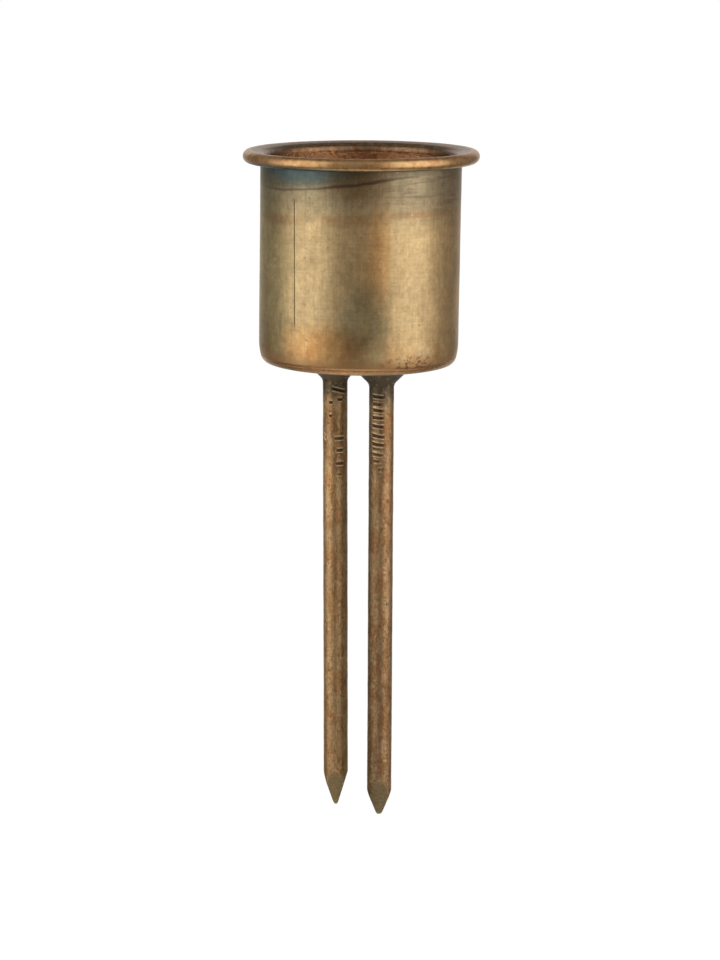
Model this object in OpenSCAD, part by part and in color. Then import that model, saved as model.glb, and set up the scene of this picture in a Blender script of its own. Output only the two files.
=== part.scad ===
// Candle holder for a wreath, a foam block or a pot of soil. A drawn metal cup with a rolled rim
// takes the end of a candle. Two wire nails, brazed by their heads to the underside of the cup,
// are pushed into whatever carries the light.
// Millimetres. The origin is the middle of the cup's underside, +Z is the cup's axis towards its
// mouth, and the two spikes stand side by side along X.

/* [Candle cup] */
// outside diameter of the straight wall
cup_d = 24; // [20:0.1:30]
// underside to the top of the rim
cup_h = 25.5; // [18:0.1:40]
// thickness of the sheet that the cup is drawn from
sheet = 0.5; // [0.4:0.05:0.6]
// outside radius where the floor turns up
corner_r = 1; // [0.8:0.1:1.6]
// how far that corner turns the sheet up, in degrees
corner_turn = 76; // [70:1:84]
// outside radius of the slow turn that finishes it, up to the straight wall
turn_in_r = 8; // [5:0.5:12]

/* [Rolled rim] */
// how far the bead stands out beyond the wall
rim_overhang = 2.1; // [1.9:0.05:2.6]
// thickness of the bead, over the rolled sheet
bead_d = 1.5; // [1.3:0.05:1.6]
// radius under the lip, where it leaves the wall
lip_bend_r = 0.55; // [0.4:0.05:0.7]
// how steeply the lip climbs from the wall to the bead, in degrees
lip_rise = 10; // [4:1:20]
// how far the edge is rolled under, in degrees from the top of the bead
roll_turn = 220; // [180:5:240]

/* [Spikes] */
// diameter of the plain wire
shank_d = 3; // [2.5:0.1:3.4]
// diameter of the flat head
head_d = 6; // [5:0.1:6.6]
// height of the head's straight edge
head_edge = 0.85; // [0.7:0.05:1.1]
// radius that blends the countersunk side of the head into the wire
under_head_r = 1; // [0.4:0.1:1.4]
// free gap between the two heads
head_gap = 0.5; // [0.45:0.05:3]
// both spikes, head to tip
spike_length = 56; // [46:0.1:80]
// how much longer than that the right spike is
right_extra = 0.2; // [0:0.1:1]
// how far the left spike leans out of square, in degrees
left_lean = 0.83; // [0:0.01:1.2]
// how far the right spike leans out of square, in degrees
right_lean = 0.56; // [0:0.01:1.2]
// the way both tips lean, in degrees from +X
lean_heading = 30; // [0:5:355]

/* [Points] */
// height of the two broad flats of a point
broad_flat_h = 5; // [4:0.1:7]
// height of the two narrow flats of the left point
left_narrow_flat_h = 4.3; // [3:0.1:6]
// height of the two narrow flats of the right point
right_narrow_flat_h = 3.2; // [2.6:0.1:6]
// thickness of a tip, from one broad flat to the other
tip_t = 0.4; // [0.2:0.05:0.6]
// width of the left tip, from one narrow flat to the other
left_tip_w = 0.42; // [0.2:0.02:0.8]
// width of the right tip, from one narrow flat to the other
right_tip_w = 0.58; // [0.2:0.02:0.8]
// the way a broad flat of the left point faces, in degrees from +X
left_flat_facing = -64; // [-180:1:180]
// the way a broad flat of the right point faces, in degrees from +X
right_flat_facing = -60; // [-180:1:180]

/* [Grip marks] */
// head to the first mark
mark_start = 3.6; // [3.5:0.1:5]
// marks in a row
mark_count = 8; // [1:1:10]
// depth of a mark
mark_depth = 0.1; // [0.04:0.01:0.2]
// width of a mark, along the wire
mark_w = 0.34; // [0.2:0.02:0.5]
// spacing of the marks on the left spike
left_mark_pitch = 1.5; // [0.9:0.05:1.8]
// spacing of the marks on the right spike
right_mark_pitch = 1.15; // [0.9:0.05:1.8]
// how far a mark runs round the left spike, in degrees
left_mark_arc = 50; // [30:1:90]
// how far a mark runs round the right spike, in degrees
right_mark_arc = 68; // [30:1:90]
// the way one row on the left spike faces, in degrees from +X
left_mark_facing = -36; // [-180:1:180]
// the way one row on the right spike faces, in degrees from +X
right_mark_facing = -65; // [-180:1:180]

/* [Brazed joints] */
// thickness of the braze between the underside and a head
film_t = 0.1; // [0.08:0.01:0.2]
// how far the braze spreads out beyond a head, on the underside
fillet_w = 0.2; // [0.1:0.01:0.2]
// how far the braze covers the straight edge of a head
fillet_h = 0.5; // [0.3:0.05:0.5]
// thickness of the braze where it stops on that edge
fillet_edge_t = 0.05; // [0.04:0.01:0.08]

/* [Hidden] */
$fn = 96;

// The cup's section: centres of its two corner arcs, its bead and the bend under its lip.
cup_r = cup_d / 2;
bead_r = bead_d / 2;
slow_turn_x = cup_r - turn_in_r;
slow_turn_z = corner_r + (turn_in_r - corner_r) * cos(corner_turn);
corner_x = slow_turn_x + (turn_in_r - corner_r) * sin(corner_turn);
bead_x = cup_r + rim_overhang - bead_r;
bead_z = cup_h - bead_r;
lip_bend_x = cup_r + lip_bend_r;
// The lip runs straight from its bend to the bead, and is a tangent to both.
bend_less_bead = lip_bend_r + sheet - bead_r;
lip_run = bead_x - lip_bend_x + bend_less_bead * sin(lip_rise);
lip_bend_z = bead_z - bend_less_bead * cos(lip_rise) - lip_run * tan(lip_rise);

// The spikes' radii and places, and where the countersunk side of a head blends into the wire.
shank_r = shank_d / 2;
head_r = head_d / 2;
spike_x = (head_d + head_gap) / 2;
countersink = 45;
countersunk_z = -head_edge - (head_r - shank_r) * tan(countersink);
under_head_z = countersunk_z - under_head_r * tan(countersink / 2);

// Points along an arc about a centre, from one angle to another in n steps.
function arc(x, z, r, a0, a1, n) =
  [for (i = [0 : n]) let (a = a0 + (a1 - a0) * i / n) [x + r * cos(a), z + r * sin(a)]];

function reversed(list) = [for (i = [len(list) - 1 : -1 : 0]) list[i]];

// One face of the sheet, from the middle of the floor out to the rolled edge. Its depth below the
// cup's outer face is 0 for that face itself and the sheet's thickness for the inner one.
function sheet_face(depth) = concat(
  [[0, depth]],
  arc(corner_x, corner_r, corner_r - depth, -90, corner_turn - 90, 8),
  arc(slow_turn_x, slow_turn_z, turn_in_r - depth, corner_turn - 90, 0, 4),
  arc(lip_bend_x, lip_bend_z, lip_bend_r + depth, 180, 90 + lip_rise, 10),
  arc(bead_x, bead_z, bead_r - sheet + depth, 90 + lip_rise, 90 - roll_turn, 23)
);

// One seamless cup: floor, wall, lip and rolled bead are the same sheet.
module cup() {
  color([0.70, 0.55, 0.30])
    rotate_extrude()
      polygon(concat(sheet_face(0), reversed(sheet_face(sheet))));
}

// A nail before its point and its marks are made: flat head, countersunk below, then plain wire.
module nail_blank(length) {
  rotate_extrude()
    polygon(concat(
      [[0, 0], [head_r, 0], [head_r, -head_edge]],
      arc(shank_r + under_head_r, under_head_z, under_head_r, 180 - countersink, 180, 6),
      [[shank_r, -length], [0, -length]]
    ));
}

// What two opposite flats leave of a nail. The sloping sides run on past the wire, so that they
// cut it clean, and the wedge then widens to pass round the head.
module wedge(length, flat_h, tip) {
  clear_x = shank_d;
  clear_z = -length + flat_h * (clear_x - tip / 2) / (shank_r - tip / 2);
  rotate([90, 0, 0])
    linear_extrude(height = 2 * head_d, center = true)
      polygon([
        [-tip / 2, -length],
        [tip / 2, -length],
        [clear_x, clear_z],
        [head_d, clear_z],
        [head_d, head_edge],
        [-head_d, head_edge],
        [-head_d, clear_z],
        [-clear_x, clear_z]
      ]);
}

// A row of grip marks: shallow V grooves that run part of the way round the wire.
module mark_row(facing, mark_arc, pitch) {
  for (i = [0 : mark_count - 1])
    translate([0, 0, -mark_start - i * pitch])
      rotate([0, 0, facing - mark_arc / 2])
        rotate_extrude(angle = mark_arc)
          polygon([
            [shank_r - mark_depth, 0],
            [shank_r + mark_depth, -mark_w],
            [shank_r + mark_depth, mark_w]
          ]);
}

// A nail with the middle of its head at the origin, pointing down. The jaws that hold the wire
// while its head is struck leave a row of marks on each side.
module nail(length, narrow_flat_h, tip_w, flat_facing, mark_facing, mark_arc, mark_pitch) {
  difference() {
    intersection() {
      nail_blank(length);
      rotate([0, 0, flat_facing])
        wedge(length, broad_flat_h, tip_t);
      rotate([0, 0, flat_facing + 90])
        wedge(length, narrow_flat_h, tip_w);
    }
    mark_row(mark_facing, mark_arc, mark_pitch);
    mark_row(mark_facing + 180, mark_arc, mark_pitch);
  }
}

// Puts a nail where it hangs under the cup, leaning a little.
module hung(x, lean) {
  translate([x, 0, -film_t])
    rotate(a = lean, v = [sin(lean_heading), -cos(lean_heading), 0])
      children();
}

// Left wire nail, head up and point down.
module left_spike() {
  color([0.62, 0.47, 0.27])
    hung(-spike_x, left_lean)
      nail(spike_length, left_narrow_flat_h, left_tip_w, left_flat_facing,
           left_mark_facing, left_mark_arc, left_mark_pitch);
}

// Right wire nail, a little longer.
module right_spike() {
  color([0.60, 0.46, 0.28])
    hung(spike_x, right_lean)
      nail(spike_length + right_extra, right_narrow_flat_h, right_tip_w, right_flat_facing,
           right_mark_facing, right_mark_arc, right_mark_pitch);
}

// Braze that wets the underside and the edge of one head, less the nail itself. Its free face is
// hollow, as melted metal draws up: an arc between the underside and the head's edge.
module braze(x, lean) {
  drop = film_t + fillet_h;
  run = fillet_w - fillet_edge_t;
  chord = sqrt(run * run + drop * drop);
  hollow_r = 1.2 * chord;
  slope = atan2(drop, run);
  half_angle = asin(chord / 2 / hollow_r);
  centre_off = hollow_r * cos(half_angle);
  centre_x = head_r + fillet_edge_t + run / 2 + centre_off * sin(slope);
  centre_z = -drop / 2 - centre_off * cos(slope);
  difference() {
    translate([x, 0, 0])
      rotate_extrude()
        polygon(concat(
          [[0, -drop], [0, 0]],
          arc(centre_x, centre_z, hollow_r, 90 + slope - half_angle, 90 + slope + half_angle, 8)
        ));
    hung(x, lean)
      nail_blank(head_d);
  }
}

// Braze that holds the left spike's head under the cup.
module left_braze() {
  color([0.40, 0.39, 0.30])
    braze(-spike_x, left_lean);
}

// Braze that holds the right spike's head under the cup.
module right_braze() {
  color([0.40, 0.39, 0.30])
    braze(spike_x, right_lean);
}

cup();
left_spike();
right_spike();
left_braze();
right_braze();
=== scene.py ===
import math

import bpy
import numpy as np
from mathutils import Matrix, Vector, noise


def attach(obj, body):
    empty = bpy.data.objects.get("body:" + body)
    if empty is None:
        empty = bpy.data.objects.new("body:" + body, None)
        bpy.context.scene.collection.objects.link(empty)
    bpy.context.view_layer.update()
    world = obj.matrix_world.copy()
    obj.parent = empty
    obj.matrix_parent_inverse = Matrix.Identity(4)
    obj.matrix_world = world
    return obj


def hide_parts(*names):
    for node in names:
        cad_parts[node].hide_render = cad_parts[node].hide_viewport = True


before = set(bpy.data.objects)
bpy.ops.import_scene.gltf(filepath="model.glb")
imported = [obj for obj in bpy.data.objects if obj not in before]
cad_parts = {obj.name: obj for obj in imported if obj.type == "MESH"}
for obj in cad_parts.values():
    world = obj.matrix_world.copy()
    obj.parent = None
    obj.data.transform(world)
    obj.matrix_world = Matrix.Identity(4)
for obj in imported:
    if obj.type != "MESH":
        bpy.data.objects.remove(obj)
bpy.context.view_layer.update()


# The cup. Brass sheet half a millimetre thick, drawn into a cup without a seam and polished on a
# lathe. Its edge is flared and rolled under into a round bead. Sizes are in millimetres, and the
# front is the side that is turned to the camera, 60 degrees clockwise from +X seen from above.
MM = 0.001
FRONT = math.radians(-60)
TOWARD = Vector((math.cos(FRONT), math.sin(FRONT), 0))
RIGHT = Vector((-math.sin(FRONT), math.cos(FRONT), 0))

SHEET = 0.5
WALL_R = 12.0

# The rounds of the section: distance of the centre from the axis, its height, and the radius.
CORNER = (10.79, 1.0, 1.0)
SLOW_TURN = (WALL_R - 8.0, 2.693, 8.0)
LIP_BEND = (WALL_R + 0.55, 24.304, 0.55)
BEAD = (13.35, 24.75, 0.75)
CORNER_TURN = 76
LIP_RISE = 10
ROLL_TURN = 220
CUP_SIDES = 240
RIM_TILT = math.tan(math.radians(0.66))


def arc(centre_x, centre_z, radius, start, end, spacing):
    """Points along an arc of a section, in degrees."""
    steps = max(2, round(abs(math.radians(end - start)) * radius / spacing))
    turns = np.radians(np.linspace(start, end, steps + 1))
    return [(centre_x + radius * math.cos(a), centre_z + radius * math.sin(a)) for a in turns]


def filled_in(section, spacing):
    """The section again, with points added along its long straight runs."""
    points = [section[0]]
    for here, there in zip(section, section[1:]):
        length = math.dist(here, there)
        steps = max(1, round(length / spacing))
        for i in range(1, steps + 1):
            part = i / steps
            points.append(tuple(h + (t - h) * part for h, t in zip(here, there)))
    return points


def face_of_sheet(depth):
    """One face of the sheet, from the middle of the floor to the rolled edge."""
    run = [(0, depth)]
    run += arc(*CORNER[:2], CORNER[2] - depth, -90, CORNER_TURN - 90, 0.1)
    run += arc(*SLOW_TURN[:2], SLOW_TURN[2] - depth, CORNER_TURN - 90, 0, 0.25)
    run += arc(*LIP_BEND[:2], LIP_BEND[2] + depth, 180, 90 + LIP_RISE, 0.07)
    run += arc(*BEAD[:2], BEAD[2] - SHEET + depth, 90 + LIP_RISE, 90 - ROLL_TURN, 0.06)
    return run


def turned(section, sides):
    """Rings of points all round the axis, one for each point of a section."""
    turns = np.linspace(0, 2 * math.pi, sides, endpoint=False)
    section = np.array(section)
    rings = np.empty((len(section), sides, 3))
    rings[..., 0] = section[:, :1] * np.cos(turns)
    rings[..., 1] = section[:, :1] * np.sin(turns)
    rings[..., 2] = section[:, 1:]
    return rings


def skin(name, rings, closed):
    """A mesh over rings of points in millimetres: a closed tube, or one with a cap at each end."""
    count, sides = rings.shape[:2]
    points = rings.reshape(-1, 3)
    corner = np.arange(count * sides).reshape(count, sides)
    nxt = np.roll(corner, -1, axis=1)
    lower, upper = (corner, np.roll(corner, -1, axis=0)) if closed else (corner[:-1], corner[1:])
    lower_nxt, upper_nxt = (nxt, np.roll(nxt, -1, axis=0)) if closed else (nxt[:-1], nxt[1:])
    faces = np.stack([lower, upper, upper_nxt, lower_nxt], axis=-1).reshape(-1, 4).tolist()
    if not closed:
        points = np.vstack([points, rings[0].mean(0), rings[-1].mean(0)])
        first, last = count * sides, count * sides + 1
        faces += [(first, a, b) for a, b in zip(corner[0], nxt[0])]
        faces += [(last, b, a) for a, b in zip(corner[-1], nxt[-1])]
    mesh = bpy.data.meshes.new(name)
    mesh.from_pydata((points * MM).tolist(), [], faces)
    mesh.shade_smooth()
    mesh.update()
    piece = bpy.data.objects.new(name, mesh)
    bpy.context.scene.collection.objects.link(piece)
    return piece


def uneven(points, size, seed):
    """Soft unevenness from -1 to 1 at each point, with swells about that size across."""
    flat = points.reshape(-1, 3) / size + seed
    values = [noise.noise(p) for p in flat.tolist()]
    return np.array(values).reshape(points.shape[:-1])


def blend_in(value, start, end):
    """0 before start, 1 after end, and smooth between them."""
    part = np.clip((value - start) / (end - start), 0, 1)
    return part * part * (3 - 2 * part)


class Finish:
    """A metal finish, laid down in layers as polish, heat and tarnish do it."""

    def __init__(self, name, colour, roughness):
        self.material = bpy.data.materials.new(name)
        self.material.use_nodes = True
        self.tree = self.material.node_tree
        self.tree.nodes.clear()
        place = self.node("ShaderNodeTexCoord").outputs["Object"]
        self.mm = self.vector("SCALE", place, scale=1 / MM)
        split = self.node("ShaderNodeSeparateXYZ", {0: self.mm})
        self.up = split.outputs["Z"]
        side = self.vector("DOT_PRODUCT", self.mm, RIGHT)
        ahead = self.vector("DOT_PRODUCT", self.mm, TOWARD)
        turn = self.maths("ARCTAN2", side, ahead)
        self.angle = self.maths("MULTIPLY", turn, math.degrees(1))
        self.radius = self.vector("LENGTH", self.vector("MULTIPLY", self.mm, (1, 1, 0)))
        self.colour = self.node("ShaderNodeRGB").outputs[0]
        self.colour.default_value = (*colour, 1)
        self.roughness = roughness
        self.height = 0.0
        self.metal = 1.0

    def node(self, kind, inputs=(), **settings):
        made = self.tree.nodes.new(kind)
        for name, value in settings.items():
            setattr(made, name, value)
        for socket, value in dict(inputs).items():
            if isinstance(value, bpy.types.NodeSocket):
                self.tree.links.new(value, made.inputs[socket])
            else:
                made.inputs[socket].default_value = value
        return made

    def maths(self, operation, first, second=0.0, third=0.0):
        made = self.node("ShaderNodeMath", {0: first, 1: second, 2: third}, operation=operation)
        return made.outputs[0]

    def vector(self, operation, first, second=(0, 0, 0), scale=1.0):
        inputs = {0: first, 1: second, 3: scale}
        made = self.node("ShaderNodeVectorMath", inputs, operation=operation)
        return made.outputs[1 if operation in ("DOT_PRODUCT", "LENGTH") else 0]

    def ramp(self, value, low, high, least=0.0, most=1.0):
        """A value brought from low..high to least..most, smoothly."""
        inputs = {0: value, 1: low, 2: high, 3: least, 4: most}
        made = self.node("ShaderNodeMapRange", inputs, interpolation_type="SMOOTHSTEP")
        return made.outputs[0]

    def grain(self, stretch, detail=3.0, seed=0.0, rough=0.5):
        """Noise from 0 to 1, with so many swells to the millimetre along X, Y and Z."""
        at = self.vector("MULTIPLY", self.mm, stretch)
        moved = self.vector("ADD", at, (seed, seed * 1.7, seed * 2.3))
        inputs = {"Vector": moved, "Scale": 1.0, "Detail": detail, "Roughness": rough}
        return self.node("ShaderNodeTexNoise", inputs).outputs[0]

    def within(self, low, high, soft):
        """1 between two heights and 0 outside them."""
        above = self.ramp(self.up, low - soft, low + soft)
        below = self.ramp(self.up, high - soft, high + soft, 1.0, 0.0)
        return self.maths("MULTIPLY", above, below)

    def patch(self, angle, up, half_angle, half_height, soft=0.4, ragged=0.0, seed=0.0):
        """1 in an oval round a place on the surface, given in degrees right of the front."""
        across = self.maths("MULTIPLY_ADD", self.angle, 1 / half_angle, -angle / half_angle)
        along = self.maths("MULTIPLY_ADD", self.up, 1 / half_height, -up / half_height)
        off = self.node("ShaderNodeCombineXYZ", {0: across, 1: along}).outputs[0]
        off = self.vector("LENGTH", off)
        if ragged:
            edge = self.grain((0.9, 0.9, 0.9), 4.0, seed, 0.6)
            off = self.maths("ADD", off, self.maths("MULTIPLY_ADD", edge, ragged, -ragged / 2))
        return self.ramp(off, 1 - soft, 1 + soft, 1.0, 0.0)

    def line(self, value, width):
        """1 where a value is close to nought, falling off within the width."""
        return self.ramp(self.maths("ABSOLUTE", value), 0.0, width, 1.0, 0.0)

    def both(self, first, second):
        return self.maths("MULTIPLY", first, second)

    def tint(self, mask, colour, blend="MIX"):
        inputs = {0: mask, 6: self.colour, 7: (*colour, 1)}
        made = self.node("ShaderNodeMix", inputs, data_type="RGBA", blend_type=blend)
        self.colour = made.outputs[2]

    def shade(self, value, least, most):
        """Brightens and darkens the colour as a value goes from 0 to 1."""
        factor = self.maths("MULTIPLY_ADD", value, most - least, least)
        grey = self.node("ShaderNodeCombineColor", {0: factor, 1: factor, 2: factor}).outputs[0]
        inputs = {0: 1.0, 6: self.colour, 7: grey}
        made = self.node("ShaderNodeMix", inputs, data_type="RGBA", blend_type="MULTIPLY")
        self.colour = made.outputs[2]

    def dull(self, mask, amount):
        """Makes the surface rougher, or smoother if the amount is below nought."""
        self.roughness = self.maths("MULTIPLY_ADD", mask, amount, self.roughness)

    def raise_up(self, value, height):
        """Lifts the surface by a height in millimetres, for the bump."""
        self.height = self.maths("MULTIPLY_ADD", value, height, self.height)

    def done(self, coat, *pieces):
        bump = self.node("ShaderNodeBump", {"Strength": 1.0, "Distance": MM, "Height": self.height})
        inputs = {
            "Base Color": self.colour,
            "Metallic": self.metal,
            "Roughness": self.roughness,
            "Normal": bump.outputs[0],
        }
        shader = self.node("ShaderNodeBsdfPrincipled", inputs)
        shader.inputs["Coat Weight"].default_value = coat
        shader.inputs["Coat Roughness"].default_value = 0.45
        output = self.node("ShaderNodeOutputMaterial")
        self.tree.links.new(shader.outputs[0], output.inputs[0])
        for piece in pieces:
            piece.data.materials.clear()
            piece.data.materials.append(self.material)


outer, inner = face_of_sheet(0), face_of_sheet(SHEET)
cup_section = filled_in(outer + inner[::-1], 0.27)[1:-1]
rings = turned(cup_section, CUP_SIDES)
to_the_right = rings @ np.array(RIGHT)
height = rings[..., 2]
rings[..., 2] += RIM_TILT * to_the_right * blend_in(height, 19, 25)
from_axis = np.hypot(rings[..., 0], rings[..., 1])
swell = 0.03 * uneven(rings, 9.0, 3.0) + 0.008 * uneven(rings, 2.5, 8.0)
stretch_out = 1 + swell / np.maximum(from_axis, 4.0)
rings[..., 0] *= stretch_out
rings[..., 1] *= stretch_out
cup = skin("cup_body", rings, closed=False)

MID_SHEET_R = WALL_R - SHEET / 2
LIP_FROM = 24.15

brass = Finish("cup_brass", (0.52, 0.372, 0.185), 0.4)
brass.shade(brass.grain((0.16, 0.16, 0.1), 3.0, 11.0), 0.72, 1.28)
brass.shade(brass.grain((3.4, 3.4, 0.22), 4.0, 5.0, 0.6), 0.80, 1.20)
brass.shade(brass.grain((0.45, 0.45, 0.4), 4.0, 15.0, 0.6), 0.70, 1.30)
brass.shade(brass.grain((0.25, 0.25, 5.0), 3.0, 7.0), 0.86, 1.14)
brass.shade(brass.grain((1.5, 1.5, 1.3), 5.0, 9.0, 0.75), 0.50, 1.50)

# Browner metal down the middle of the front and at its right side, olive at its left.
streaks = brass.grain((0.9, 0.9, 0.06), 4.0, 21.0, 0.6)
brown = brass.patch(8, 14, 15, 15, 0.6, 0.7, 2.0)
brass.tint(brass.both(brown, brass.ramp(streaks, 0.3, 0.7)), (1.0, 0.91, 0.82), "MULTIPLY")
brass.tint(brass.patch(68, 11, 27, 16, 0.5, 0.5, 4.0), (0.99, 0.93, 0.90), "MULTIPLY")
brass.tint(brass.patch(-72, 10, 24, 16, 0.5, 0.5, 6.0), (0.86, 0.93, 0.90), "MULTIPLY")
brass.tint(brass.patch(10, 14, 6, 6, 0.7, 1.0, 8.0), (1.0, 0.82, 0.68), "MULTIPLY")
brass.tint(brass.patch(-25, 3.0, 22, 2.6, 0.6, 0.9, 9.0), (1.0, 0.84, 0.68), "MULTIPLY")
brass.tint(brass.patch(-8, 4.0, 17, 1.6, 0.6, 1.2, 10.0), (0.88, 0.82, 0.77), "MULTIPLY")
clouds = brass.ramp(brass.grain((0.35, 0.35, 0.35), 5.0, 18.0, 0.6), 0.35, 0.6)
low = brass.both(brass.ramp(brass.up, 1.5, 6.5, 1.0, 0.0), clouds)
brass.tint(low, (0.86, 0.73, 0.65), "MULTIPLY")

# A dark olive bloom low on the front, and a faint red band below the top.
bloom = brass.patch(3, 6.3, 13, 4.2, 0.6, 0.5, 12.0)
brass.tint(bloom, (0.60, 0.68, 0.74), "MULTIPLY")
brass.dull(bloom, 0.06)
for angle, up, half_angle, half_height in (
    (-55, 17.9, 20, 0.6),
    (-9, 18.2, 15, 0.6),
    (35, 18.8, 25, 0.4),
):
    band = brass.patch(angle, up, half_angle, half_height, 0.7, 0.9, up)
    brass.tint(band, (0.88, 0.77, 0.72), "MULTIPLY")

# Heat from rolling the rim has blued the left side below it and darkened the rest. Just under the
# bead that darkening is partly painted shade from the bead's overhang. The tarnish ends at a thin
# dark tide line that climbs from left to right.
tide = brass.maths("SINE", brass.maths("MULTIPLY", brass.angle, math.radians(1.5)))
over_tide = brass.maths("SUBTRACT", brass.up, brass.maths("MULTIPLY_ADD", tide, 1.15, 22.5))
wander = brass.maths("MULTIPLY_ADD", brass.grain((0.5, 0.5, 0.5), 4.0, 3.0), 0.5, -0.25)
over_tide = brass.maths("ADD", over_tide, wander)
outside = brass.ramp(brass.radius, MID_SHEET_R - 0.05, MID_SHEET_R + 0.05)
below_rim = brass.both(outside, brass.ramp(brass.up, 24.1, 24.3, 1.0, 0.0))
warm_up = brass.both(below_rim, brass.ramp(brass.up, 16.0, 21.5))
brass.tint(warm_up, (0.68, 0.74, 0.84), "MULTIPLY")
# Partly tarnish and partly painted shade under the bead, on the right.
right_tarnish_and_bead_shade = brass.both(below_rim, brass.patch(45, 22, 38, 3.6, 0.6, 0.5, 14.0))
brass.tint(right_tarnish_and_bead_shade, (0.80, 0.80, 0.84), "MULTIPLY")
smears = brass.ramp(brass.grain((0.13, 0.13, 1.5), 5.0, 23.0, 0.6), 0.46, 0.60)
smears = brass.both(smears, brass.patch(45, 20.6, 30, 2.8, 0.5))
brass.tint(brass.both(smears, below_rim), (0.74, 0.70, 0.72), "MULTIPLY")
heated = brass.both(below_rim, brass.ramp(over_tide, -0.5, 0.7))
brass.tint(heated, (0.70, 0.72, 0.74), "MULTIPLY")
blue = brass.both(heated, brass.patch(-40, 23.7, 30, 1.5, 0.6, 0.8, 15.0))
brass.tint(blue, (0.46, 0.76, 1.20), "MULTIPLY")
# Partly tarnish and partly painted shade under the bead, at the middle of the front.
tarnish_and_bead_shade = brass.both(below_rim, brass.patch(-2, 22.8, 17, 2.2, 0.5, 0.8, 16.0))
brass.tint(tarnish_and_bead_shade, (0.72, 0.62, 0.52), "MULTIPLY")
shown = brass.patch(-15, 22.2, 52, 3.0, 0.3)
tide_line = brass.both(brass.both(below_rim, shown), brass.line(over_tide, 0.24))
brass.tint(brass.maths("MULTIPLY", tide_line, 0.85), (0.13, 0.09, 0.06))
burnt = brass.both(brass.line(over_tide, 0.34), brass.patch(-2, 22.5, 19, 2.0, 0.4))
brass.tint(brass.maths("MULTIPLY", burnt, 0.9), (0.09, 0.055, 0.03))
second = brass.maths("MULTIPLY_ADD", brass.angle, -0.019, brass.maths("SUBTRACT", brass.up, 21.9))
second = brass.both(brass.line(second, 0.14), brass.patch(42, 22.7, 26, 2.0, 0.4))
brass.tint(brass.maths("MULTIPLY", brass.both(second, below_rim), 0.55), (0.2, 0.14, 0.09))

# Copper shows where the corner at the foot has been rubbed, with dark red specks.
foot = brass.maths("MULTIPLY_ADD", brass.grain((0.8, 0.8, 0.8), 4.0, 31.0), 1.6, brass.up)
foot = brass.ramp(foot, 1.7, 3.0, 1.0, 0.0)
foot = brass.both(foot, outside)
brass.tint(brass.maths("MULTIPLY", foot, 0.8), (0.50, 0.275, 0.115))
specks = brass.ramp(brass.grain((1.5, 1.5, 2.4), 4.0, 41.0, 0.7), 0.50, 0.60)
specks = brass.both(specks, brass.patch(32, 1.45, 17, 0.75, 0.5))
brass.tint(brass.maths("MULTIPLY", specks, 0.85), (0.16, 0.05, 0.03))
underside = brass.ramp(brass.up, 0.15, 0.3, 1.0, 0.0)
soot = brass.both(underside, brass.ramp(brass.radius, 5.5, 9.5, 1.0, 0.0))
brass.tint(brass.maths("MULTIPLY", soot, 0.8), (0.14, 0.11, 0.08))

# The bead and the lip are coppery, the lip scored across, and the bore is rough bare copper red.
lip = brass.ramp(brass.up, LIP_FROM, LIP_FROM + 0.2)
brass.tint(brass.maths("MULTIPLY", lip, 0.8), (0.57, 0.335, 0.15))
inside = brass.ramp(brass.radius, MID_SHEET_R - 0.05, MID_SHEET_R + 0.05, 1.0, 0.0)
bore = brass.both(inside, brass.ramp(brass.up, 0.4, 0.45))
brass.tint(brass.maths("MULTIPLY", bore, 0.9), (0.58, 0.275, 0.115))
flat_lip = brass.both(lip, brass.ramp(brass.radius, 12.9, 13.15, 1.0, 0.0))
score = brass.grain((1.6, 1.6, 0.0), 4.0, 51.0, 0.7)
brass.tint(brass.both(flat_lip, brass.ramp(score, 0.25, 0.75, 0.6, 1.0)), (0.19, 0.13, 0.08))
worn = brass.ramp(brass.grain((1.3, 1.3, 1.3), 5.0, 53.0, 0.7), 0.42, 0.60)
brass.tint(brass.both(lip, worn), (0.78, 0.66, 0.56), "MULTIPLY")
bore_pits = brass.grain((2.4, 2.4, 1.8), 5.0, 55.0, 0.7)
brass.tint(brass.both(bore, brass.ramp(bore_pits, 0.5, 0.7)), (0.26, 0.11, 0.05))

# Handling has left one long scratch down the left of the front, pale nicks and dark pits.
slant = brass.maths("MULTIPLY_ADD", brass.up, 0.066, brass.angle)
scratch = brass.line(brass.maths("ADD", slant, 38.65), 0.75)
scratch = brass.both(brass.both(scratch, brass.within(5.4, 20.4, 0.5)), outside)
brass.tint(brass.maths("MULTIPLY", scratch, 0.8), (0.13, 0.10, 0.06))
ridge = brass.line(brass.maths("ADD", slant, 37.8), 0.5)
ridge = brass.both(brass.both(ridge, brass.within(6, 20, 0.5)), outside)
brass.tint(brass.maths("MULTIPLY", ridge, 0.35), (0.8, 0.62, 0.36))
pits = brass.ramp(brass.grain((4.6, 4.6, 4.6), 2.0, 61.0), 0.68, 0.76)
brass.tint(brass.maths("MULTIPLY", pits, 0.6), (0.22, 0.13, 0.07))
nicks = brass.ramp(brass.grain((3.7, 3.7, 3.7), 1.0, 71.0), 0.75, 0.80)
brass.tint(brass.maths("MULTIPLY", nicks, 0.55), (0.75, 0.62, 0.42))
scuffs = brass.ramp(brass.grain((1.7, 1.7, 1.1), 4.0, 75.0, 0.7), 0.54, 0.64)
scuffs = brass.both(scuffs, brass.patch(-60, 11.3, 10, 3.2, 0.5))
brass.tint(brass.maths("MULTIPLY", scuffs, 0.6), (0.78, 0.66, 0.44))

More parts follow.
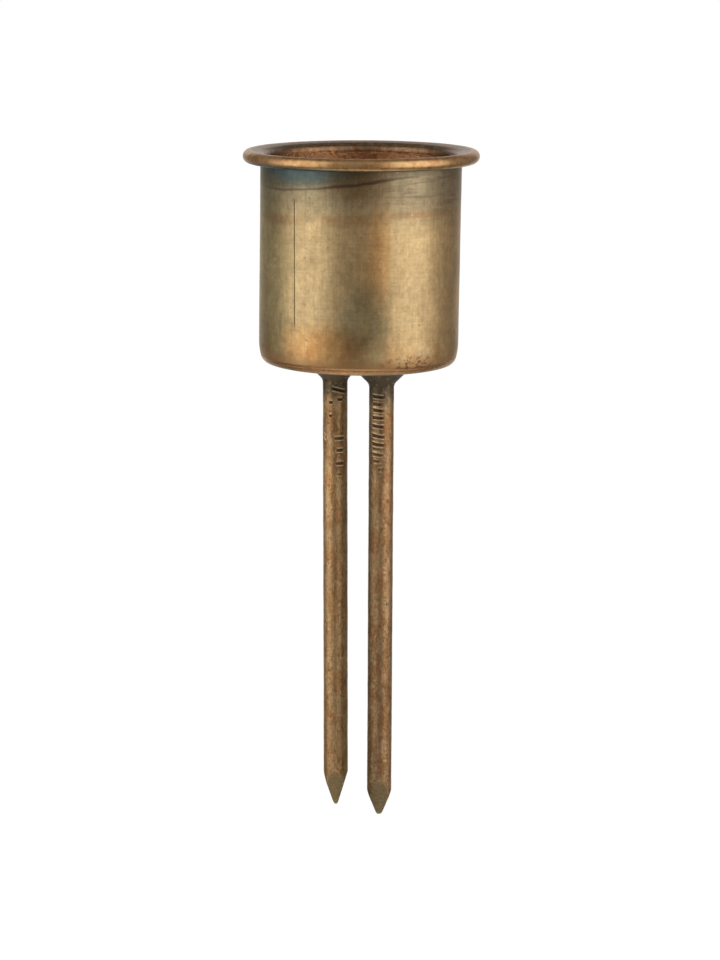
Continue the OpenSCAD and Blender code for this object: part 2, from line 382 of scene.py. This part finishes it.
brass.dull(brass.grain((0.7, 0.7, 0.7), 4.0, 81.0), 0.12)
brass.dull(heated, 0.05)
brass.dull(bore, -0.18)
brass.dull(lip, -0.08)
brass.raise_up(brass.grain((5.0, 5.0, 0.5), 4.0, 91.0), 0.006)
brass.raise_up(brass.grain((1.2, 1.2, 0.9), 4.0, 95.0), 0.012)
brass.raise_up(brass.both(bore, bore_pits), 0.09)
brass.raise_up(brass.maths("MAXIMUM", scratch, pits), -0.03)
brass.done(0.12, cup)
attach(cup, "root")
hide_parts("cup")


# The two spikes. Common wire nails, hung head up: a flat countersunk head, plain 3 mm wire and a
# four-sided pinched point. The jaws that held the wire have left a row of marks on each side.
SHANK_R = 1.5
HEAD_R = 3.0
HEAD_EDGE = 0.85
HEAD_ROUND = 0.12
UNDER_HEAD_R = 1.0
TIP_T = 0.4
BROAD_FLAT = 5.0
MARKED_TO = 17.0
POINT_ROOM = 6.5
FILM_T = 0.1
SPIKE_X = 3.25
LEAN_AXIS = TOWARD
NAIL_SIDES = 120


def pressed(rings, below, facing, half_arc, depth, slant):
    """How deep a jaw's tooth has cut, with the lips of metal it raised. Angles from the front."""
    turn = np.degrees(np.arctan2(rings[..., 1], rings[..., 0])) - math.degrees(FRONT)
    turn = (turn - facing + 180) % 360 - 180
    off = -rings[..., 2] - below - slant * turn
    cut = np.exp(-((off / 0.12) ** 2)) - 0.5 * np.exp(-(((np.abs(off) - 0.27) / 0.1) ** 2))
    return depth * cut * blend_in(half_arc - np.abs(turn), 0, half_arc * 0.35)


def nail(name, at_x, lean, length, narrow_flat, tip_w, flat_facing, marks, seed):
    """A nail, hung by its head under the cup, with the jaws' marks and its four-sided point."""
    countersunk = HEAD_EDGE + HEAD_R - SHANK_R
    under_head = countersunk + UNDER_HEAD_R * math.tan(math.radians(22.5))
    section = [(0.05, 0), (HEAD_R - HEAD_ROUND, 0)]
    section += arc(HEAD_R - HEAD_ROUND, -HEAD_ROUND, HEAD_ROUND, 90, 0, 0.05)
    section += [(HEAD_R, -HEAD_EDGE)]
    section += arc(SHANK_R + UNDER_HEAD_R, -under_head, UNDER_HEAD_R, 135, 180, 0.08)
    section = filled_in(section, 0.15)
    for end, spacing in ((MARKED_TO, 0.055), (length - POINT_ROOM, 0.17), (length, 0.04)):
        section += filled_in([section[-1], (SHANK_R, -end)], spacing)[1:]
    rings = turned(section, NAIL_SIDES)
    around_axis = np.arctan2(rings[..., 1], rings[..., 0])
    above_tip = length + rings[..., 2]
    reach = np.hypot(rings[..., 0], rings[..., 1])
    plain = blend_in(-rings[..., 2], under_head, under_head + 1)
    reach = reach + plain * (0.02 * uneven(rings, 2.2, seed) + 0.012 * uneven(rings, 0.7, seed))
    bite = np.zeros(reach.shape)
    for facing in (0, 180):
        for below, turn, half_arc, depth, slant in marks:
            bite = bite + pressed(rings, below, turn + facing, half_arc, depth, slant)
    reach = reach - bite
    for turn, flat, tip in ((0, BROAD_FLAT, TIP_T), (90, narrow_flat, tip_w)):
        for side in (0, 180):
            facing = math.radians(flat_facing + turn + side)
            off = tip / 2 + (SHANK_R - tip / 2) * above_tip / flat
            off = off - 0.12 * np.exp(-above_tip / 0.12)
            cosine = np.maximum(np.cos(around_axis - facing), 0.02)
            reach = np.where(above_tip < POINT_ROOM, np.minimum(reach, off / cosine), reach)
    rings[..., 0] = reach * np.cos(around_axis)
    rings[..., 1] = reach * np.sin(around_axis)
    piece = skin(name, rings, closed=False)
    bitten = piece.data.attributes.new("bitten", "FLOAT", "POINT")
    bitten.data.foreach_set("value", np.append(bite.ravel(), (0, 0)))
    hung = Matrix.Translation((at_x * MM, 0, -FILM_T * MM))
    piece.matrix_world = hung @ Matrix.Rotation(math.radians(lean), 4, LEAN_AXIS)
    return piece


# Each mark: millimetres below the head, degrees right of the front, half its arc in degrees,
# depth, and how far it slants down to the right, in millimetres to a degree.
left_marks = (
    (3.50, 20, 40, 0.13, 0.007),
    (4.62, 24, 15, 0.11, 0.0),
    (5.00, -19, 11, 0.13, 0.0),
    (6.68, -20, 8, 0.12, 0.0),
    (9.25, -57, 9, 0.10, 0.03),
    (9.43, 20, 30, 0.09, 0.0),
    (10.90, 24, 24, 0.10, 0.0),
    (12.53, 22, 26, 0.10, 0.0),
    (13.93, 18, 16, 0.05, 0.0),
)
right_marks = (
    (3.70, -18, 34, 0.09, 0.002),
    (4.60, -22, 28, 0.07, 0.0),
    (5.35, -20, 32, 0.10, 0.002),
    (6.25, -20, 34, 0.11, 0.001),
    (7.30, -20, 34, 0.12, 0.002),
    (8.50, -20, 36, 0.12, 0.004),
    (9.52, -20, 36, 0.11, 0.003),
    (10.10, -24, 26, 0.07, 0.0),
    (10.78, -20, 32, 0.09, 0.002),
    (11.60, -22, 22, 0.07, 0.0),
    (12.60, -4, 12, 0.06, 0.0),
)
left_nail = nail("left_nail", -SPIKE_X, 0.83, 56.0, 4.3, 0.42, -64, left_marks, 13.0)
right_nail = nail("right_nail", SPIKE_X, 0.56, 56.2, 3.2, 0.58, -60, right_marks, 29.0)


def wire_finish(name, colour, seed, painted_shade_side):
    """Brown brass wire, smoked near its head, olive on the point, and with painted shade down the
    side that faces the other nail.
    """
    wire = Finish(name, colour, 0.38)
    wire.shade(wire.grain((0.5, 0.5, 0.09), 4.0, seed, 0.6), 0.65, 1.35)
    wire.shade(wire.grain((3.5, 3.5, 0.35), 4.0, seed + 5, 0.6), 0.60, 1.40)
    wire.shade(wire.grain((3.6, 3.6, 2.8), 4.0, seed + 9, 0.8), 0.10, 1.90)
    # Painted shade down the side that faces the other nail.
    painted_nail_shade = wire.patch(painted_shade_side, -28, 38, 60, 0.45, 0.5, seed + 11)
    wire.tint(wire.maths("MULTIPLY", painted_nail_shade, 0.9), (0.58, 0.62, 0.60), "MULTIPLY")
    rust = wire.ramp(wire.grain((0.8, 0.8, 0.35), 5.0, seed + 13, 0.7), 0.44, 0.58)
    wire.tint(wire.maths("MULTIPLY", rust, 0.85), (0.80, 0.62, 0.50), "MULTIPLY")
    pits = wire.ramp(wire.grain((3.2, 3.2, 2.2), 4.0, seed + 17, 0.6), 0.60, 0.70)
    wire.tint(wire.maths("MULTIPLY", pits, 0.65), (0.11, 0.07, 0.04))
    glints = wire.ramp(wire.grain((4.2, 4.2, 1.6), 2.0, seed + 23), 0.70, 0.78)
    wire.tint(wire.maths("MULTIPLY", glints, 0.5), (0.72, 0.52, 0.3))
    jaws = wire.both(wire.within(-13.5, -3.0, 0.6), wire.patch(-5, -8, 48, 9, 0.3, 0.6, seed))
    wire.tint(wire.maths("MULTIPLY", jaws, 0.5), (0.62, 0.60, 0.58), "MULTIPLY")
    smoked = wire.maths("MULTIPLY_ADD", wire.grain((0.8, 0.8, 0.8), 4.0, seed + 27), 2.4, wire.up)
    smoked = wire.ramp(smoked, -4.2, -2.0)
    wire.tint(wire.maths("MULTIPLY", smoked, 0.85), (0.085, 0.076, 0.052))
    rubbed = wire.ramp(wire.grain((2.0, 2.0, 1.4), 3.0, seed + 29), 0.56, 0.70)
    wire.tint(wire.maths("MULTIPLY", rubbed, 0.45), (0.46, 0.33, 0.18))
    pinched = wire.ramp(wire.radius, 1.36, 1.44, 1.0, 0.0)
    pinched = wire.both(pinched, wire.ramp(wire.up, -52.5, -50.5, 1.0, 0.0))
    wire.tint(wire.maths("MULTIPLY", pinched, 0.7), (0.23, 0.185, 0.095))
    bitten = wire.node("ShaderNodeAttribute", attribute_name="bitten").outputs["Fac"]
    # Painted shade in the jaws' cuts, darker the deeper a tooth has cut.
    wire.tint(wire.ramp(bitten, 0.015, 0.08, 0.0, 0.85), (0.07, 0.05, 0.032))
    # Painted highlight on the lips of metal that the teeth raised.
    wire.tint(wire.ramp(bitten, -0.045, -0.008, 0.7, 0.0), (0.72, 0.54, 0.32))
    wire.dull(wire.grain((0.9, 0.9, 0.5), 4.0, seed + 31), 0.14)
    wire.dull(smoked, 0.1)
    wire.raise_up(wire.grain((4.0, 4.0, 0.5), 4.0, seed + 35), 0.012)
    wire.raise_up(wire.grain((2.8, 2.8, 2.8), 5.0, seed + 39, 0.6), 0.07)
    wire.raise_up(pits, -0.03)
    return wire


wire_finish("left_wire", (0.56, 0.36, 0.175), 3.0, 52).done(0.08, left_nail)
wire_finish("right_wire", (0.42, 0.262, 0.13), 47.0, -62).done(0.08, right_nail)
for piece, node in ((left_nail, "left_spike"), (right_nail, "right_spike")):
    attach(piece, "root")
    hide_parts(node)


# The brazed joints. Brass spelter that has run between each head and the cup and drawn up into a
# hollow fillet. It stays dull, dark grey-green and a little lumpy. Its solids have the right shape.
braze = Finish("tarnished_braze", (0.066, 0.062, 0.044), 0.45)
braze.shade(braze.grain((1.4, 1.4, 1.4), 4.0, 7.0, 0.7), 0.1, 1.9)
bright = braze.ramp(braze.grain((2.5, 2.5, 2.5), 3.0, 17.0), 0.58, 0.72)
braze.tint(braze.maths("MULTIPLY", bright, 0.7), (0.38, 0.29, 0.16))
braze.dull(braze.grain((1.0, 1.0, 1.0), 3.0, 27.0), 0.15)
braze.raise_up(braze.grain((1.6, 1.6, 1.6), 4.0, 37.0), 0.06)
braze.done(0.0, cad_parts["left_braze"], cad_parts["right_braze"])


# The set. Two soft boxes light the metal from the front quarters, and dark cards close in on the
# other sides, because bare metal shows only what stands round it. The floor is pale and plain and
# lies well below, so that the holder hangs clear of it as in the photograph.
AZIMUTH = math.radians(30)
AIM = Vector((0, 0, -10 * MM))
BOX_AWAY = 0.40
BOX_TALL = 0.70
BOX_RISE = 20
CARD_AWAY = 0.2
CARD_STEP = 4
LEFT_GAP = (-88, -36)
RIGHT_GAP = (26, 88)
GAP_RISE = (-22, 62)
REAR_GAP_FROM = 148
REAR_GAP_RISE = 35
LOW_GAP_FROM = -58
FLOOR_Z = -0.36
FLOOR_HALF = 8.0


def around(azimuth, elevation, distance):
    """A place seen from the cup in a direction, in degrees right of the camera and above level."""
    a = AZIMUTH + math.radians(azimuth)
    e = math.radians(elevation)
    flat = Vector((math.sin(a), -math.cos(a), 0))
    return (flat * math.cos(e) + Vector((0, 0, math.sin(e)))) * distance


def soft_box(name, azimuth, width, watts):
    light = bpy.data.lights.new(name, "AREA")
    light.shape = "RECTANGLE"
    light.size = width
    light.size_y = BOX_TALL
    light.energy = watts
    lamp = bpy.data.objects.new(name, light)
    lamp.location = AIM + around(azimuth, BOX_RISE, BOX_AWAY)
    lamp.rotation_mode = "QUATERNION"
    lamp.rotation_quaternion = (AIM - lamp.location).to_track_quat("-Z", "Y")
    lamp.visible_camera = False
    bpy.context.scene.collection.objects.link(lamp)


def stage_mesh(name, points, faces):
    """Something on the set, with an empty material for its nodes."""
    mesh = bpy.data.meshes.new(name)
    mesh.from_pydata(points, [], faces)
    thing = bpy.data.objects.new(name, mesh)
    bpy.context.scene.collection.objects.link(thing)
    material = bpy.data.materials.new(name)
    material.use_nodes = True
    material.node_tree.nodes.clear()
    mesh.materials.append(material)
    return thing, material.node_tree


def seen_directly(tree):
    """1 for a ray that sees the background, straight or in a reflection, and 0 for one that lights."""
    path = tree.nodes.new("ShaderNodeLightPath")
    seen = path.outputs["Is Camera Ray"]
    for kind in ("Is Glossy Ray", "Is Transmission Ray"):
        added = tree.nodes.new("ShaderNodeMath")
        added.use_clamp = True
        tree.links.new(seen, added.inputs[0])
        tree.links.new(path.outputs[kind], added.inputs[1])
        seen = added.outputs[0]
    return seen


soft_box("left_box", -62, 0.36, 0.58)
soft_box("right_box", 55, 0.44, 0.84)

world = bpy.data.worlds.new("studio")
bpy.context.scene.world = world
world.use_nodes = True
tree = world.node_tree
tree.nodes.clear()
strength = tree.nodes.new("ShaderNodeMapRange")
strength.inputs[3].default_value = 0.4
strength.inputs[4].default_value = 1.0
tree.links.new(seen_directly(tree), strength.inputs[0])
background = tree.nodes.new("ShaderNodeBackground")
background.inputs[0].default_value = (1, 1, 1, 1)
tree.links.new(strength.outputs[0], background.inputs[1])
output = tree.nodes.new("ShaderNodeOutputWorld")
tree.links.new(background.outputs[0], output.inputs[0])

# The cards, as tiles of a ball that is left open before each soft box, behind and underneath.
points, faces, numbers = [], [], {}
for azimuth in range(0, 360, CARD_STEP):
    for rise in range(-90, 90, CARD_STEP):
        middle = (azimuth + CARD_STEP / 2 + 180) % 360 - 180
        middle_rise = rise + CARD_STEP / 2
        left = LEFT_GAP[0] < middle < LEFT_GAP[1]
        right = RIGHT_GAP[0] < middle < RIGHT_GAP[1]
        level = GAP_RISE[0] < middle_rise < GAP_RISE[1]
        rear = abs(middle) > REAR_GAP_FROM and abs(middle_rise) < REAR_GAP_RISE
        below = middle_rise < LOW_GAP_FROM
        if (left or right) and level or rear or below:
            continue
        tile = []
        for across, along in ((0, 0), (1, 0), (1, 1), (0, 1)):
            key = ((azimuth + across * CARD_STEP) % 360, rise + along * CARD_STEP)
            if key not in numbers:
                numbers[key] = len(points)
                points.append(tuple(AIM + around(*key, CARD_AWAY)))
            tile.append(numbers[key])
        faces.append(tile)
cards, tree = stage_mesh("dark_cards", points, faces)
cards.visible_camera = False
cards.visible_diffuse = False
cards.visible_shadow = False
cards.visible_transmission = False
glow = tree.nodes.new("ShaderNodeEmission")
glow.inputs[0].default_value = (0.24, 0.228, 0.215, 1)
output = tree.nodes.new("ShaderNodeOutputMaterial")
tree.links.new(glow.outputs[0], output.inputs[0])

corners = [(x * FLOOR_HALF, y * FLOOR_HALF, FLOOR_Z) for x, y in ((-1, -1), (1, -1), (1, 1), (-1, 1))]
tree = stage_mesh("pale_floor", corners, [(0, 1, 2, 3)])[1]
lit = tree.nodes.new("ShaderNodeBsdfDiffuse")
lit.inputs[0].default_value = (0.85, 0.85, 0.85, 1)
white = tree.nodes.new("ShaderNodeEmission")
white.inputs[1].default_value = 0.9
paint = tree.nodes.new("ShaderNodeBsdfDiffuse")
paint.inputs[0].default_value = (0.3, 0.3, 0.3, 1)
shown = tree.nodes.new("ShaderNodeAddShader")
tree.links.new(white.outputs[0], shown.inputs[0])
tree.links.new(paint.outputs[0], shown.inputs[1])
mix = tree.nodes.new("ShaderNodeMixShader")
tree.links.new(seen_directly(tree), mix.inputs[0])
tree.links.new(lit.outputs[0], mix.inputs[1])
tree.links.new(shown.outputs[0], mix.inputs[2])
output = tree.nodes.new("ShaderNodeOutputMaterial")
tree.links.new(mix.outputs[0], output.inputs[0])


# The camera, where the photograph's was: 35 cm in front of the cup, 3 cm above its mouth, tilted
# down at it, and turned a little in its holder. Lengths in millimetres and angles in degrees.
CAMERA_RIGHT = 0.413
CAMERA_AWAY = 354.4
CAMERA_UP = 55.53
CAMERA_DOWN = 11.19
CAMERA_ROLL = 0.848
LENS = 111.47

camera_data = bpy.data.cameras.new("camera")
camera_data.lens = LENS
camera_data.sensor_width = 36
camera_data.sensor_fit = "AUTO"
camera_data.clip_start = 0.01
camera = bpy.data.objects.new("camera", camera_data)
stand = RIGHT * CAMERA_RIGHT + TOWARD * CAMERA_AWAY + Vector((0, 0, CAMERA_UP))
camera.matrix_world = (
    Matrix.Translation(stand * MM)
    @ Matrix.Rotation(AZIMUTH, 4, "Z")
    @ Matrix.Rotation(math.radians(90 - CAMERA_DOWN), 4, "X")
    @ Matrix.Rotation(math.radians(CAMERA_ROLL), 4, "Z")
)
bpy.context.scene.collection.objects.link(camera)
bpy.context.scene.camera = camera
bpy.context.scene.view_settings.view_transform = "Standard"
